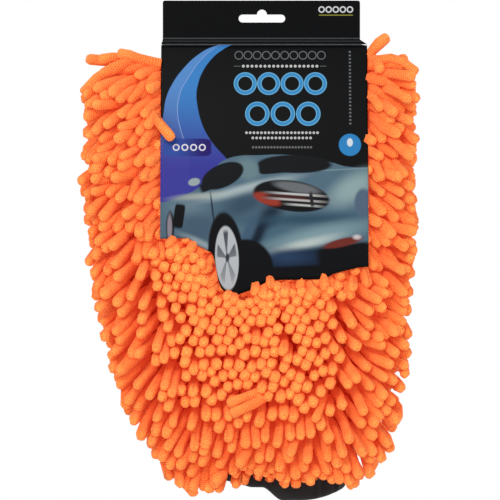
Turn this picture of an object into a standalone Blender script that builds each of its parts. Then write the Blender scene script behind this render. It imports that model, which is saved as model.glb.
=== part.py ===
"""Chenille wash mitt on its folded retail header card, hung by the slot in the card's header.

The mitt hangs with its fingertip end up and its elastic cuff down. Its front faces -Y, +X is to the
right and +Z is up. The origin is where a peg bears, at the top of the hang slot. The card's two
panels fold at their creases: the front one lifts on its own, and the rear one carries the mitt,
which is tacked to it with two plastic tag pins.
"""

import math

import bmesh
import bpy
from mathutils import Vector

MM = 0.001

# Header of the card: two glued plies with the hang slot through both.
BOARD = 0.5 * MM
PLY_GAP = 0.3 * MM
HEADER_LEFT = -57.4 * MM
HEADER_RIGHT = 56.8 * MM
HEADER_TOP = 5.2 * MM
HEADER_BOTTOM = -20.1 * MM
HEADER_STEP = -17.4 * MM
HEADER_CORNER = 1.2 * MM
SLOT_HALF_WIDTH = 13.5 * MM
SLOT_RADIUS = 2.3 * MM
SLOT_HUMP = 2.9 * MM
SLOT_STEPS = 8
HEADER_CORNER_STEPS = 3

# Panels: each starts at its crease, leans out over the pile and straightens towards its free edge.
PANEL_LEFT = -58.3 * MM
PANEL_RIGHT = 60.9 * MM
CREASE_Y = 0.4 * MM
CREASE_Z = -20.6 * MM
FOLD_Y = 0.8 * MM
CREASE_GAP = 0.4 * MM
PANEL_LEAN = math.radians(22)
PANEL_BEND_RADIUS = 418 * MM
REAR_PANEL_LENGTH = 128 * MM
REAR_PANEL_CORNER = 6 * MM
REAR_CORNER_STEPS = 4
FRONT_PANEL_ROWS = 8
REAR_PANEL_ROWS = 7
# Free edge of the front panel, left to right: place across, and length of board below the crease.
FRONT_PANEL_EDGE = (
    (-58.3, 116), (-41.8, 115.6), (-37.1, 119.8), (-27.8, 124.4), (-26.9, 130), (-24.4, 143.4),
    (-20.3, 147.2), (-15.7, 148.7), (-7, 145.6), (4.6, 139.8), (36, 139.2), (40.6, 136.2),
    (54.5, 132.6), (60.9, 132),
)

# Sewn body: both edges, from the top seam down to the cuff.
BODY_TOP = -31 * MM
BODY_BOTTOM = -265.5 * MM
TOP_CORNER = 30 * MM
LEFT_EDGE = (
    (-31, -92.8), (-90, -92.8), (-145, -90), (-194, -78), (-223, -69), (-244, -57), (-258, -39),
    (-265.5, -20),
)
RIGHT_EDGE = (
    (-31, 80), (-90, 80), (-145, 77.5), (-194, 73.5), (-223, 68), (-244, 62.5), (-258, 54.5),
    (-265.5, 46.4),
)
POCKET_DEPTH = (
    (-31, 1.6), (-60, 5.4), (-100, 9.8), (-140, 12.8), (-190, 14), (-240, 14), (-265.5, 13.2),
)
PILE_DEPTH = ((-31, 29), (-150, 29), (-185, 31), (-210, 31.5), (-240, 29), (-265.5, 17))
ROWS = (0, 0.015, 0.05, 0.1, 0.17, 0.27, 0.39, 0.51, 0.62, 0.72, 0.8, 0.87, 0.93, 0.97, 1)
COLUMNS = 12
SECTION_POWER = 2.5
PANEL_CLEARANCE = 1.3 * MM
PILE_REACH = 14.5 * MM
PILE_RISE = 4 * MM
PILE_HANG = 12.5 * MM
SEAM_RADIUS = 0.7 * MM
SEAM_STEPS = 6
TOP_ROUNDING = 30
# Each cloth layer's two faces, outwards from the pocket's wall line, and where its edge stands.
PILE_ROOTS = 1.4 * MM
PILE_EDGE_Y = 1.1 * MM
BACKING_FACES = (0, -1 * MM)
BACKING_EDGE_Y = 1.3 * MM
LINING_FACES = (-1.5 * MM, -2.1 * MM)
LINING_EDGE_Y = 0.5 * MM

# Cuff: a folded casing with the elastic inside it.
CUFF_X = 13.2 * MM
CUFF_HALF_WIDTH = 33 * MM
CUFF_HALF_DEPTH = 13 * MM
CUFF_CLOTH = 0.8 * MM
CUFF_SIDES = 32
# Casing profile: distance in from the outer wall, and height.
CASING = (
    (0, -267.3), (0, -274), (0, -281.4), (0.6, -282.6), (1.6, -283.1), (2.6, -282.6), (3.2, -281.4),
    (3.2, -274), (3.2, -268),
)
ELASTIC_INSET = 1.6 * MM
ELASTIC_THICKNESS = 1.2 * MM
ELASTIC_TOP = -272 * MM
ELASTIC_BOTTOM = -280 * MM
THREAD_RADIUS = 0.35 * MM
HEM_THREAD_INSET = -1.05 * MM
HEM_THREAD_Z = -270.3 * MM
JOIN_THREAD_Z = -266.2 * MM

# Tag pins through the rear panel and the mitt's rear wall.
PIN_X = (-32 * MM, 30 * MM)
PIN_Z = -58 * MM
PIN_BAR_Y = 1.7 * MM
PIN_BAR_LENGTH = 8 * MM
PIN_BAR_RADIUS = 0.5 * MM
PIN_THREAD_RADIUS = 0.3 * MM
PIN_HEAD = Vector((5.5, 0.8, 3.2)) * MM
PIN_HEAD_GAP = 1.2 * MM
PIN_HOLE_RADIUS = 0.8 * MM
HOLE_OVERSHOOT = 3 * MM
ROD_SIDES = 8

LABEL_LOW = Vector((46, -0.25, -233)) * MM
LABEL_HIGH = Vector((62, 0.25, -211)) * MM

SMOOTH_ANGLE = math.radians(40)
COLLECTION = bpy.data.collections.new("wash_mitt")
CUTTERS = bpy.data.collections.new("cutters")
FRONT = -1
REAR = 1


def clear_scene():
    for ob in list(bpy.data.objects):
        bpy.data.objects.remove(ob, do_unlink=True)
    for collection in (COLLECTION, CUTTERS):
        bpy.context.scene.collection.children.link(collection)


def finish(name, color, roughness):
    material = bpy.data.materials.new(name)
    material.use_nodes = True
    shader = material.node_tree.nodes["Principled BSDF"]
    shader.inputs["Base Color"].default_value = (*color, 1)
    shader.inputs["Roughness"].default_value = roughness
    shader.inputs["Metallic"].default_value = 0
    return material


def add_mesh(name, bm, material, collection=None):
    """Closes a bmesh into a named object, with its faces turned outwards."""
    bmesh.ops.recalc_face_normals(bm, faces=bm.faces)
    if bm.calc_volume(signed=True) < 0:
        bmesh.ops.reverse_faces(bm, faces=bm.faces)
    mesh = bpy.data.meshes.new(name)
    bm.to_mesh(mesh)
    bm.free()
    mesh.materials.append(material)
    ob = bpy.data.objects.new(name, mesh)
    (collection or COLLECTION).objects.link(ob)
    mesh.shade_smooth()
    mesh.set_sharp_from_angle(angle=SMOOTH_ANGLE)
    return ob


def through(stations, at):
    """A smooth curve through (place, value) stations in mm, read at one place in metres."""
    places = [p * MM for p, _ in stations]
    values = [v * MM for _, v in stations]
    last = len(stations) - 1
    at = min(max(at, places[last]), places[0])
    i = min(max(sum(at < p for p in places) - 1, 0), last - 1)
    gap = places[i + 1] - places[i]
    slopes = []
    for k in (i, i + 1):
        low, high = max(k - 1, 0), min(k + 1, last)
        slopes.append((values[high] - values[low]) / (places[high] - places[low]))
    f = (at - places[i]) / gap
    rise = (f**3 - 2 * f**2 + f) * gap * slopes[0] + (f**3 - f**2) * gap * slopes[1]
    return values[i] + (3 * f**2 - 2 * f**3) * (values[i + 1] - values[i]) + rise


def arc(center, radius, start, end, steps):
    """Points of an arc in degrees, as (x, z) pairs."""
    angles = [math.radians(start + (end - start) * i / steps) for i in range(steps + 1)]
    return [(center[0] + radius * math.cos(a), center[1] + radius * math.sin(a)) for a in angles]


def slot_outline():
    """Hang slot: a bar with round ends and a hump on its middle, where the peg bears."""
    bar_z = -SLOT_HUMP - SLOT_RADIUS
    end = SLOT_HALF_WIDTH - SLOT_RADIUS
    return (
        arc((-end, bar_z), SLOT_RADIUS, 90, 270, SLOT_STEPS)
        + arc((end, bar_z), SLOT_RADIUS, -90, 90, SLOT_STEPS)
        + arc((0, -SLOT_HUMP), SLOT_HUMP, 0, 180, SLOT_STEPS)
    )


def header_outline():
    left = HEADER_LEFT + HEADER_CORNER
    right = HEADER_RIGHT - HEADER_CORNER
    top = HEADER_TOP - HEADER_CORNER
    return (
        arc((right, top), HEADER_CORNER, 0, 90, HEADER_CORNER_STEPS)
        + arc((left, top), HEADER_CORNER, 90, 180, HEADER_CORNER_STEPS)
        + [(HEADER_LEFT, HEADER_STEP), (PANEL_LEFT, HEADER_BOTTOM), (PANEL_RIGHT, HEADER_BOTTOM)]
        + [(HEADER_RIGHT, HEADER_STEP)]
    )


def header_ply(name, side, material):
    """One ply of the header: its outline and the slot as one filled flat curve."""
    curve = bpy.data.curves.new(name, "CURVE")
    curve.dimensions = "2D"
    curve.fill_mode = "BOTH"
    curve.extrude = BOARD / 2
    for outline in (header_outline(), slot_outline()):
        spline = curve.splines.new("POLY")
        spline.points.add(len(outline) - 1)
        for point, (x, z) in zip(spline.points, outline):
            point.co = (x, z, 0, 1)
        spline.use_cyclic_u = True
    curve.materials.append(material)
    ob = bpy.data.objects.new(name, curve)
    ob.location = (0, side * (PLY_GAP + BOARD) / 2, 0)
    ob.rotation_euler = (math.radians(90), 0, 0)
    COLLECTION.objects.link(ob)
    return ob


def bent_board(length):
    """How far out and how far down the bent board is, a length below its crease."""
    lean = PANEL_LEAN - length / PANEL_BEND_RADIUS
    out = PANEL_BEND_RADIUS * (math.cos(lean) - math.cos(PANEL_LEAN))
    down = PANEL_BEND_RADIUS * (math.sin(PANEL_LEAN) - math.sin(lean))
    return out, down


def board_depth(z):
    """How far a panel's middle stands from the mid-plane at a height."""
    lean = math.asin(math.sin(PANEL_LEAN) - max(CREASE_Z - z, 0) / PANEL_BEND_RADIUS)
    return CREASE_Y + PANEL_BEND_RADIUS * (math.cos(lean) - math.cos(PANEL_LEAN))


def grid_of(across, down):
    """A flat grid in a bmesh, with each vertex's column and row numbers."""
    bm = bmesh.new()
    bmesh.ops.create_grid(bm, x_segments=across, y_segments=down, size=1)
    cells = {}
    for v in bm.verts:
        cells[v] = (round((v.co.x + 1) / 2 * across), round((1 - v.co.y) / 2 * down))
    return bm, cells


def panel(name, side, columns, rows, material):
    """A board panel on its crease: columns are (place across, length of board below the crease)."""
    bm, cells = grid_of(len(columns) - 1, rows)
    for v, (i, j) in cells.items():
        x, length = columns[i]
        out, down = bent_board(CREASE_GAP + (length - CREASE_GAP) * j / rows)
        v.co = (x, side * (CREASE_Y - FOLD_Y + out), -down)
    ob = add_mesh(name, bm, material)
    ob.location = (0, side * FOLD_Y, CREASE_Z)
    board = ob.modifiers.new("board", "SOLIDIFY")
    board.thickness = BOARD
    board.offset = 0
    return ob


def rear_panel_columns():
    """A plain panel whose lower corners are round."""
    left = HEADER_LEFT + REAR_PANEL_CORNER
    right = HEADER_RIGHT - REAR_PANEL_CORNER
    low = REAR_PANEL_CORNER - REAR_PANEL_LENGTH
    edge = arc((left, low), REAR_PANEL_CORNER, 180, 270, REAR_CORNER_STEPS)
    edge += [((left + right) / 2, -REAR_PANEL_LENGTH)]
    edge += arc((right, low), REAR_PANEL_CORNER, 270, 360, REAR_CORNER_STEPS)
    return [(x, -z) for x, z in edge]


def edges_at(z, corner):
    """The body's left and right edges at a height, drawn in round its top corners."""
    rise = max(z - (BODY_TOP - corner), 0)
    tuck = corner - math.sqrt(max(corner**2 - rise**2, 0))
    return through(LEFT_EDGE, z) + tuck, through(RIGHT_EDGE, z) - tuck


def pocket_layer(grow):
    """A thin layer of the pocket's wall: spread, rise and hang of its edge, and its depth."""

    def depth(z):
        return through(POCKET_DEPTH, z) + grow

    return {"spread": grow, "rise": grow, "hang": 0, "depth": depth}


def pile_layer():
    """The pile's outside, which reaches past the cloth and lies behind the card's panels."""

    def depth(z):
        return min(through(PILE_DEPTH, z), board_depth(z + PILE_RISE) - PANEL_CLEARANCE)

    return {"spread": PILE_REACH, "rise": PILE_RISE, "hang": PILE_HANG, "depth": depth}


def place(layer, side, edge_y, i, j):
    """Where a layer's grid point goes: i counts across and j down."""
    down = ROWS[j]
    z = BODY_TOP + (BODY_BOTTOM - BODY_TOP) * down
    left, right = edges_at(z, TOP_CORNER)
    across = (1 - math.cos(math.pi * i / COLUMNS)) / 2
    x = (left - layer["spread"]) + (right - left + 2 * layer["spread"]) * across
    crown = (1 - abs(2 * across - 1) ** SECTION_POWER) ** 0.5
    crown *= (1 - (1 - down) ** TOP_ROUNDING) ** 0.5
    y = edge_y + max(layer["depth"](z) - edge_y, 0) * crown
    return Vector((x, side * y, z + layer["rise"] * (1 - down) ** 3 - layer["hang"] * down**2))


def wall(name, side, outer, inner, edge_y, material):
    """A closed wall between two layers, one half of the flat pouch."""
    bm, cells = grid_of(COLUMNS, len(ROWS) - 1)
    kept = list(bm.verts)
    lifted = bmesh.ops.extrude_face_region(bm, geom=bm.faces[:])["geom"]
    lifted = [v for v in lifted if isinstance(v, bmesh.types.BMVert)]
    at = {tuple(v.co): cells[v] for v in kept}
    for v in lifted:
        v.co = place(outer, side, edge_y, *at[tuple(v.co)])
    for v in kept:
        v.co = place(inner, side, edge_y, *cells[v])
    return add_mesh(name, bm, material)


def tube(name, points, radius, cyclic, material):
    """A round cord through points."""
    curve = bpy.data.curves.new(name, "CURVE")
    curve.dimensions = "3D"
    curve.bevel_depth = radius
    curve.bevel_resolution = 1
    curve.use_fill_caps = not cyclic
    spline = curve.splines.new("POLY")
    spline.points.add(len(points) - 1)
    for point, spot in zip(spline.points, points):
        point.co = (*spot, 1)
    spline.use_cyclic_u = cyclic
    curve.materials.append(material)
    ob = bpy.data.objects.new(name, curve)
    COLLECTION.objects.link(ob)
    return ob


def seam_points():
    """Up the left edge, across the top and down the right edge, on the mid-plane."""
    sides = []
    for down in ROWS[:-1]:
        z = BODY_TOP + (BODY_BOTTOM - BODY_TOP) * down
        sides.append((edges_at(z, TOP_CORNER), z))
    left = [Vector((edges[0], 0, z)) for edges, z in reversed(sides)]
    right = [Vector((edges[1], 0, z)) for edges, z in sides]
    top = [left[-1].lerp(right[0], i / SEAM_STEPS) for i in range(1, SEAM_STEPS)]
    return left + top + right


def cuff_ring(inset, z):
    """The cuff's oval, drawn in by an inset, at a height."""
    points = []
    for i in range(CUFF_SIDES):
        a = 2 * math.pi * i / CUFF_SIDES
        x = CUFF_X + (CUFF_HALF_WIDTH - inset) * math.cos(a)
        points.append(Vector((x, (CUFF_HALF_DEPTH - inset) * math.sin(a), z)))
    return points


def swept_ring(name, profile, closed, material):
    """The oval swept along a profile of (inset, height) points in metres."""
    bm = bmesh.new()
    bmesh.ops.create_circle(bm, cap_ends=False, radius=1, segments=CUFF_SIDES)
    ring = list(bm.verts)
    loops = [ring]
    for _ in profile[1:]:
        edges = [e for e in bm.edges if all(v in loops[-1] for v in e.verts)]
        made = bmesh.ops.extrude_edge_only(bm, edges=edges)["geom"]
        new = {tuple(v.co): v for v in made if isinstance(v, bmesh.types.BMVert)}
        loops.append([new[tuple(v.co)] for v in loops[-1]])
    if closed:
        first, last = (
            [e for e in bm.edges if all(v in loop for v in e.verts)] for loop in (loops[0], loops[-1])
        )
        bmesh.ops.bridge_loops(bm, edges=first + last)
    angles = [math.atan2(v.co.y, v.co.x) for v in ring]
    for loop, (inset, z) in zip(loops, profile):
        for v, a in zip(loop, angles):
            x = CUFF_X + (CUFF_HALF_WIDTH - inset) * math.cos(a)
            v.co = (x, (CUFF_HALF_DEPTH - inset) * math.sin(a), z)
    return add_mesh(name, bm, material)


def cuff_casing(material):
    ob = swept_ring("cuff_casing", [(i * MM, z * MM) for i, z in CASING], False, material)
    cloth = ob.modifiers.new("cloth", "SOLIDIFY")
    cloth.thickness = CUFF_CLOTH
    cloth.offset = 0
    return ob


def cuff_elastic(material):
    inner = ELASTIC_INSET + ELASTIC_THICKNESS / 2
    outer = ELASTIC_INSET - ELASTIC_THICKNESS / 2
    profile = [(outer, ELASTIC_TOP), (outer, ELASTIC_BOTTOM)]
    profile += [(inner, ELASTIC_BOTTOM), (inner, ELASTIC_TOP)]
    return swept_ring("cuff_elastic", profile, True, material)


def rod(bm, low, high, radius):
    """A cylinder between two points, added to a bmesh."""
    run = Vector(high) - Vector(low)
    turn = Vector((0, 0, 1)).rotation_difference(run).to_matrix().to_4x4()
    turn.translation = (Vector(low) + Vector(high)) / 2
    bmesh.ops.create_cone(
        bm,
        cap_ends=True,
        segments=ROD_SIDES,
        radius1=radius,
        radius2=radius,
        depth=run.length,
        matrix=turn,
    )


def cutter(name, bm):
    ob = add_mesh(name, bm, finish(name, (0.5, 0.5, 0.5), 0.5), CUTTERS)
    ob.hide_render = True
    ob.display_type = "WIRE"
    return ob


def boolean(ob, other, operation):
    modifier = ob.modifiers.new(other.name, "BOOLEAN")
    modifier.operation = operation
    modifier.object = other
    modifier.solver = "EXACT"


def pin_holes(pierced):
    """Clears a way for both pins through the rear panel and the mitt's rear wall."""
    bm = bmesh.new()
    for x in PIN_X:
        beyond = board_depth(PIN_Z) + HOLE_OVERSHOOT
        rod(bm, (x, PIN_BAR_Y, PIN_Z), (x, beyond, PIN_Z), PIN_HOLE_RADIUS)
    holes = cutter("pin_hole_cutter", bm)
    for ob in pierced:
        boolean(ob, holes, "DIFFERENCE")


def tag_pin(name, x, material):
    """A bar inside the pocket, a thread through the wall and a flat head behind the card."""
    head_y = board_depth(PIN_Z) + BOARD / 2 + PIN_HEAD_GAP
    bm = bmesh.new()
    rod(bm, (x, PIN_BAR_Y, PIN_Z), (x, head_y, PIN_Z), PIN_THREAD_RADIUS)
    pin = add_mesh(name, bm, material)
    half = Vector((PIN_BAR_LENGTH / 2, 0, 0))
    middle = Vector((x, PIN_BAR_Y, PIN_Z))
    bm = bmesh.new()
    rod(bm, middle - half, middle + half, PIN_BAR_RADIUS)
    boolean(pin, cutter(name + "_bar", bm), "UNION")
    bm = bmesh.new()
    bmesh.ops.create_cube(bm, size=1)
    bmesh.ops.scale(bm, vec=PIN_HEAD, verts=bm.verts)
    bmesh.ops.translate(bm, vec=Vector((x, head_y, PIN_Z)), verts=bm.verts)
    boolean(pin, cutter(name + "_head", bm), "UNION")
    return pin


def care_label(material):
    bm = bmesh.new()
    bmesh.ops.create_cube(bm, size=1)
    bmesh.ops.scale(bm, vec=LABEL_HIGH - LABEL_LOW, verts=bm.verts)
    bmesh.ops.translate(bm, vec=(LABEL_HIGH + LABEL_LOW) / 2, verts=bm.verts)
    return add_mesh("care_label", bm, material)


def fold(name, side, pieces):
    """An empty on a crease's fold line, which carries the pieces that turn about it."""
    axis = bpy.data.objects.new(name, None)
    axis.location = (0, side * FOLD_Y, CREASE_Z)
    COLLECTION.objects.link(axis)
    bpy.context.view_layer.update()
    for ob in pieces:
        ob.parent = axis
        ob.matrix_parent_inverse = axis.matrix_world.inverted()


def build_card():
    printed = finish("printed_board", (0.012, 0.013, 0.015), 0.35)
    header_ply("header_front_ply", FRONT, printed)
    header_ply("header_rear_ply", REAR, printed)
    columns = [(x * MM, length * MM) for x, length in FRONT_PANEL_EDGE]
    fold("front_fold", FRONT, [panel("front_panel", FRONT, columns, FRONT_PANEL_ROWS, printed)])
    return panel("rear_panel", REAR, rear_panel_columns(), REAR_PANEL_ROWS, printed)


def build_body():
    chenille = finish("chenille", (0.86, 0.16, 0.03), 0.9)
    backing = finish("backing_cloth", (0.55, 0.09, 0.02), 0.9)
    black_knit = finish("black_knit", (0.015, 0.015, 0.017), 0.85)
    walls = {}
    for word, side in (("front", FRONT), ("rear", REAR)):
        layers = (
            ("_pile", pile_layer(), pocket_layer(PILE_ROOTS), PILE_EDGE_Y, chenille),
            ("_backing", *map(pocket_layer, BACKING_FACES), BACKING_EDGE_Y, backing),
            ("_lining", *map(pocket_layer, LINING_FACES), LINING_EDGE_Y, black_knit),
        )
        walls[side] = [
            wall(word + part, side, outer, inner, edge_y, material)
            for part, outer, inner, edge_y, material in layers
        ]
    seam_tape = finish("seam_tape", (0.5, 0.08, 0.02), 0.9)
    seam = tube("edge_seam", seam_points(), SEAM_RADIUS, False, seam_tape)
    return walls[FRONT] + [seam], walls[REAR]


def build_cuff():
    black_jersey = finish("black_jersey", (0.018, 0.016, 0.018), 0.8)
    thread = finish("black_thread", (0.02, 0.02, 0.022), 0.7)
    hem = cuff_ring(HEM_THREAD_INSET, HEM_THREAD_Z)
    join = cuff_ring(0, JOIN_THREAD_Z)
    return [
        cuff_casing(black_jersey),
        cuff_elastic(finish("elastic", (0.7, 0.7, 0.68), 0.6)),
        tube("cuff_hem_thread", hem, THREAD_RADIUS, True, thread),
        tube("cuff_join_thread", join, THREAD_RADIUS, True, thread),
        care_label(finish("label_satin", (0.85, 0.85, 0.82), 0.5)),
    ]


def main():
    clear_scene()
    rear_panel = build_card()
    front_walls, rear_walls = build_body()
    nylon = finish("clear_nylon", (0.8, 0.8, 0.8), 0.3)
    pins = [tag_pin("tag_pin_" + word, x, nylon) for word, x in zip(("left", "right"), PIN_X)]
    pin_holes([rear_panel, *rear_walls])
    fold("mitt_fold", REAR, [rear_panel, *front_walls, *rear_walls, *build_cuff(), *pins])


main()
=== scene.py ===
"""Looks of a chenille wash mitt on its hang card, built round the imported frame.

It is laid out as an add-on with one operator for each group of pieces and is run as a script. The
mitt hangs with its cuff down and its printed front facing -Y.
"""

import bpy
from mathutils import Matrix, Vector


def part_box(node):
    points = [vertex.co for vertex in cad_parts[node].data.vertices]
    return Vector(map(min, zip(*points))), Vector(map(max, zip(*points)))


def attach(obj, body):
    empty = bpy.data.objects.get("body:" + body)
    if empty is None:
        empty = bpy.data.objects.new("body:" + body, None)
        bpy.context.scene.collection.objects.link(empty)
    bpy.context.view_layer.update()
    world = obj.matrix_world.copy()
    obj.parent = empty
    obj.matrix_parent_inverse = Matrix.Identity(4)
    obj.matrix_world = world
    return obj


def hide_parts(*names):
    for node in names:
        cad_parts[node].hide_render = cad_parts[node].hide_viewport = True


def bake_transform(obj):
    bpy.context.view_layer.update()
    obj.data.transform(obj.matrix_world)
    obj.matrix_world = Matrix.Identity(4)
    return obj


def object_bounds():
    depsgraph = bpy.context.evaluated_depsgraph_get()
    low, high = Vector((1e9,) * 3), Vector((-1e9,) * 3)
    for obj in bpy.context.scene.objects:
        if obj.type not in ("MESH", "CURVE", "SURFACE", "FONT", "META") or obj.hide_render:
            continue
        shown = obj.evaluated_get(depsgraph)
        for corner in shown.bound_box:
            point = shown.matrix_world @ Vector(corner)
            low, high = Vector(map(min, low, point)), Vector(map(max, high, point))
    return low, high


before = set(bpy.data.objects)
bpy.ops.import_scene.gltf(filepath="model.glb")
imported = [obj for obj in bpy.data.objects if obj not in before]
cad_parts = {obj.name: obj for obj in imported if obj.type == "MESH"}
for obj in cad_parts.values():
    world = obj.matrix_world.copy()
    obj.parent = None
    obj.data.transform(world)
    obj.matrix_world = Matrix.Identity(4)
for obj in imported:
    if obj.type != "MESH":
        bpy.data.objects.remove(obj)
CAD_BOX = [list(corner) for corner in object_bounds()]

import math

import bmesh
import bpy
import numpy as np
from bpy.props import FloatProperty, FloatVectorProperty, IntProperty, PointerProperty
from mathutils import Vector
from mathutils.bvhtree import BVHTree
from mathutils.kdtree import KDTree

bl_info = {
    "name": "Chenille Wash Mitt",
    "version": (1, 0, 0),
    "blender": (4, 5, 0),
    "location": "3D View > Sidebar > Wash Mitt",
    "description": "Builds a chenille wash mitt with its hang card round a packed frame",
    "category": "Object",
}

MM = 0.001
FRONT = -1
REAR = 1
SIDE_WORDS = {FRONT: "front", REAR: "rear"}

# Pile: the strands' own shape. The tip's rings are (distance back in radii, share of the radius).
SPOKES = 10
SHAFT = (0.0, 0.22, 0.44, 0.66)
TIP_ROUNDS = ((0.08, 0.40), (0.38, 0.79), (0.95, 1.0))
TIP_SWELL = 1.04
SHAFT_SWELL = (0.90, 1.10)
STANDING_SWELL = 0.07
BANDS = ("upper", "middle", "lower")

# Pile: how strands settle against each other.
CHAIN = 8
SETTLE_ROUNDS = 60
SEARCH_EVERY = 4
SEARCH_REACH = 1.35
SQUEEZE = 0.94
PUSH = 0.45
PULL = 0.1
STIFFNESS = 0.22
LONGEST_STEP = 1.2 * MM
EDGE_STEP = 1.4 * MM
HOLD = 0.3
OUTLINE_INSET = 3.4 * MM
ROOM_INSET = 3 * MM
SHORTEST_SHARE = 0.52
CARD_ROOM = 1.5 * MM

# Pile: how it is held between cloth and card, in shares of a strand's width and in metres.
CLOTH_LIFT = 0.35
BARE_LIFT = 0.3
CARD_DROP = 0.5
CARD_REACH = 3.5
CARD_CLEAR = 0.45 * MM
CLOTH_CLEAR = 0.1 * MM
LEAST_THICK = 0.15 * MM

# Pile: how much strands differ from each other, as standard deviations.
ROOT_SPREAD = 0.09
LIFT_SPREAD = 7
TURN_SPREAD = 9
LENGTH_SPREAD = 0.07
CURL_SPREAD = 0.11
DEPTH_SPREAD = 0.5 * MM
START_SPREAD = 0.2 * MM
OUTLINE_SPREAD = 1.5 * MM
SLACK_SPREAD = 1.3 * MM
RADIUS_SPREAD = 0.04
SWELL_SPREAD = 0.07
TIP_SPREAD = 0.03
LUMP_SPREAD = 0.015

# Chenille's fine patterns: radians of ring per metre, and noise scales per metre.
RING_TURNS = 5200.0
RING_WANDER = 4.0
WANDER_SCALE = 260
SPECKLE_SCALE = 1100
TUFT_SCALE = 900.0


class PileSettings(bpy.types.PropertyGroup):
    diameter: FloatProperty(
        name="Strand diameter", description="Width of one chenille strand",
        default=0.0062, unit="LENGTH",
    )
    length: FloatProperty(
        name="Strand length", description="Length of a strand from cloth to tip",
        default=0.031, unit="LENGTH",
    )
    standing_length: FloatProperty(
        name="Standing length", description="Length of the strands that stand up in the middle",
        default=0.025, unit="LENGTH",
    )
    pitch: FloatProperty(
        name="Row pitch", description="Distance between strands along and across the rows",
        default=0.0064, unit="LENGTH",
    )
    seed: IntProperty(name="Seed", description="Seed of the strands' small differences", default=7)
    # Strand colour and root colour are lit and shaded copies of one dye: the root colour is painted
    # shade towards the cloth.
    lit: FloatVectorProperty(
        name="Strand colour", description="Colour of the strands' brushed outside",
        subtype="COLOR", default=(0.88, 0.248, 0.050),
    )
    root_shade: FloatVectorProperty(
        name="Root colour", description="Colour of the strands near the cloth",
        subtype="COLOR", default=(0.88, 0.125, 0.025),
    )


class CardSettings(bpy.types.PropertyGroup):
    ground: FloatVectorProperty(
        name="Ground colour", description="Colour of the print's black ground",
        subtype="COLOR", default=(0.0021, 0.0024, 0.0030),
    )
    roughness: FloatProperty(
        name="Varnish roughness", description="Roughness of the satin varnish", default=0.4,
    )


class ClothSettings(bpy.types.PropertyGroup):
    backing: FloatVectorProperty(
        name="Backing colour", description="Colour of the cloth that the strands are sewn into",
        subtype="COLOR", default=(0.62, 0.075, 0.016),
    )
    lining: FloatVectorProperty(
        name="Lining colour", description="Colour of the knitted lining and the cuff",
        subtype="COLOR", default=(0.010, 0.010, 0.011),
    )
    elastic: FloatVectorProperty(
        name="Elastic colour", description="Colour of the elastic inside the cuff",
        subtype="COLOR", default=(0.6, 0.6, 0.58),
    )


class StageSettings(bpy.types.PropertyGroup):
    distance: FloatProperty(
        name="Camera distance", description="How far the camera stands in front of the mitt",
        default=2.4, unit="LENGTH",
    )
    height: FloatProperty(
        name="Framed height", description="Height of the view at the mitt",
        default=0.2895, unit="LENGTH",
    )
    middle: FloatVectorProperty(
        name="Framed place", description="Place on the mitt that the view is centred on",
        subtype="XYZ", unit="LENGTH", default=(-0.0069, 0.0, -0.1392),
    )


def smooth(low, high, value):
    """0 below low, 1 above high, and a smooth step between; low may be the larger."""
    f = np.clip((np.asarray(value, float) - low) / (high - low), 0, 1)
    return f * f * (3 - 2 * f)


def spread(value, stations):
    """Reads (place, value) stations in mm and any unit at places in metres."""
    places, values = zip(*sorted(stations))
    return np.interp(np.asarray(value) / MM, places, values)


def new_piece(name, mesh, body, slot, *materials):
    """Links a finished mesh as a piece that rides on a body."""
    for material in materials:
        mesh.materials.append(material)
    ob = bpy.data.objects.new(name, mesh)
    bpy.context.scene.collection.objects.link(ob)
    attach(ob, body)
    return ob


def to_mesh(bm, name, smooth=True):
    mesh = bpy.data.meshes.new(name)
    bm.to_mesh(mesh)
    bm.free()
    if smooth:
        mesh.shade_smooth()
    return mesh


# Materials


class Nodes:
    """Short calls for making a material's nodes and joining them."""

    def __init__(self, name):
        self.material = bpy.data.materials.new(name)
        self.material.use_nodes = True
        self.tree = self.material.node_tree
        self.shader = self.tree.nodes["Principled BSDF"]

    def add(self, kind, inputs=(), **settings):
        node = self.tree.nodes.new(kind)
        for name, value in settings.items():
            setattr(node, name, value)
        for name, value in dict(inputs).items():
            self.feed(node.inputs[name], value)
        return node

    def feed(self, socket, value):
        if isinstance(value, bpy.types.NodeSocket):
            self.tree.links.new(value, socket)
        elif socket.type == "RGBA" and len(value) == 3:
            socket.default_value = (*value, 1)
        else:
            socket.default_value = value

    def set(self, **values):
        for name, value in values.items():
            self.feed(self.shader.inputs[name.replace("_", " ")], value)

    def place(self, scale=(1, 1, 1)):
        coordinates = self.add("ShaderNodeTexCoord").outputs["Object"]
        return self.add("ShaderNodeMapping", {"Vector": coordinates, "Scale": scale}).outputs[0]

    def attribute(self, name):
        return self.add("ShaderNodeAttribute", attribute_name=name).outputs["Fac"]

    def math(self, operation, *values):
        return self.add("ShaderNodeMath", dict(enumerate(values)), operation=operation).outputs[0]

    def split(self, vector):
        return self.add("ShaderNodeSeparateXYZ", {"Vector": vector}).outputs

    def noise(self, vector, scale, detail=2.0, roughness=0.5):
        inputs = {"Vector": vector, "Scale": scale, "Detail": detail, "Roughness": roughness}
        return self.add("ShaderNodeTexNoise", inputs).outputs["Fac"]

    def fade(self, value, low, high, out_low=0.0, out_high=1.0, steps="SMOOTHSTEP"):
        inputs = {"Value": value, 1: low, 2: high, 3: out_low, 4: out_high}
        return self.add("ShaderNodeMapRange", inputs, interpolation_type=steps).outputs[0]

    def mix(self, factor, a, b, blend="MIX"):
        node = self.add("ShaderNodeMix", data_type="RGBA", blend_type=blend)
        self.feed(node.inputs[0], factor)
        self.feed(node.inputs[6], a)
        self.feed(node.inputs[7], b)
        return node.outputs[2]

    def bump(self, height, distance, strength):
        inputs = {"Height": height, "Distance": distance, "Strength": strength}
        return self.add("ShaderNodeBump", inputs).outputs[0]


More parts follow.
